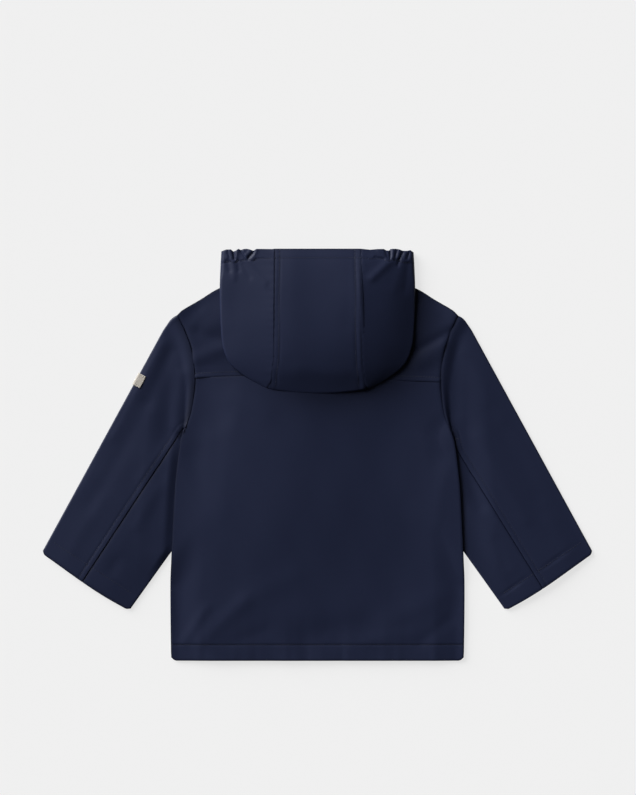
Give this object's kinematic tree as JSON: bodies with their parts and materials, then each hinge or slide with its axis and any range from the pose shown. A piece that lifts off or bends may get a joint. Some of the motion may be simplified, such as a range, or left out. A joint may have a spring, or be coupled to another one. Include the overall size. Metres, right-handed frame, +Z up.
{
  "type": "kids raincoat laid flat",
  "caption": "Child's hooded raincoat in coated cloth, laid out flat with its back up and its hood folded down on the back.",
  "frame": {"origin": "on the surface that the coat lies on, below the middle of its box", "axes": "+X towards the right sleeve as seen from above, +Y from the hem towards the hood, +Z up out of the coat's back"},
  "size_m": [0.6352, 0.4752, 0.0228],
  "materials": {
    "coated_cloth": "matte navy, smooth coated cloth with a soft sheen",
    "label_tape": "woven beige-grey tape",
    "stud_cap": "satin navy"
  },
  "bodies": {
    "root": {"back_panel": "coated_cloth", "back_yoke": "coated_cloth", "front_left": "coated_cloth", "front_right": "coated_cloth", "sleeve_left": "coated_cloth", "sleeve_right": "coated_cloth", "sleeve_label": "label_tape", "hood_center": "coated_cloth", "hood_side_left": "coated_cloth", "hood_side_right": "coated_cloth", "stud_cap_1": "stud_cap", "stud_cap_2": "stud_cap", "stud_cap_3": "stud_cap", "stud_cap_4": "stud_cap", "stud_cap_5": "stud_cap"}
  },
  "joints": []
}
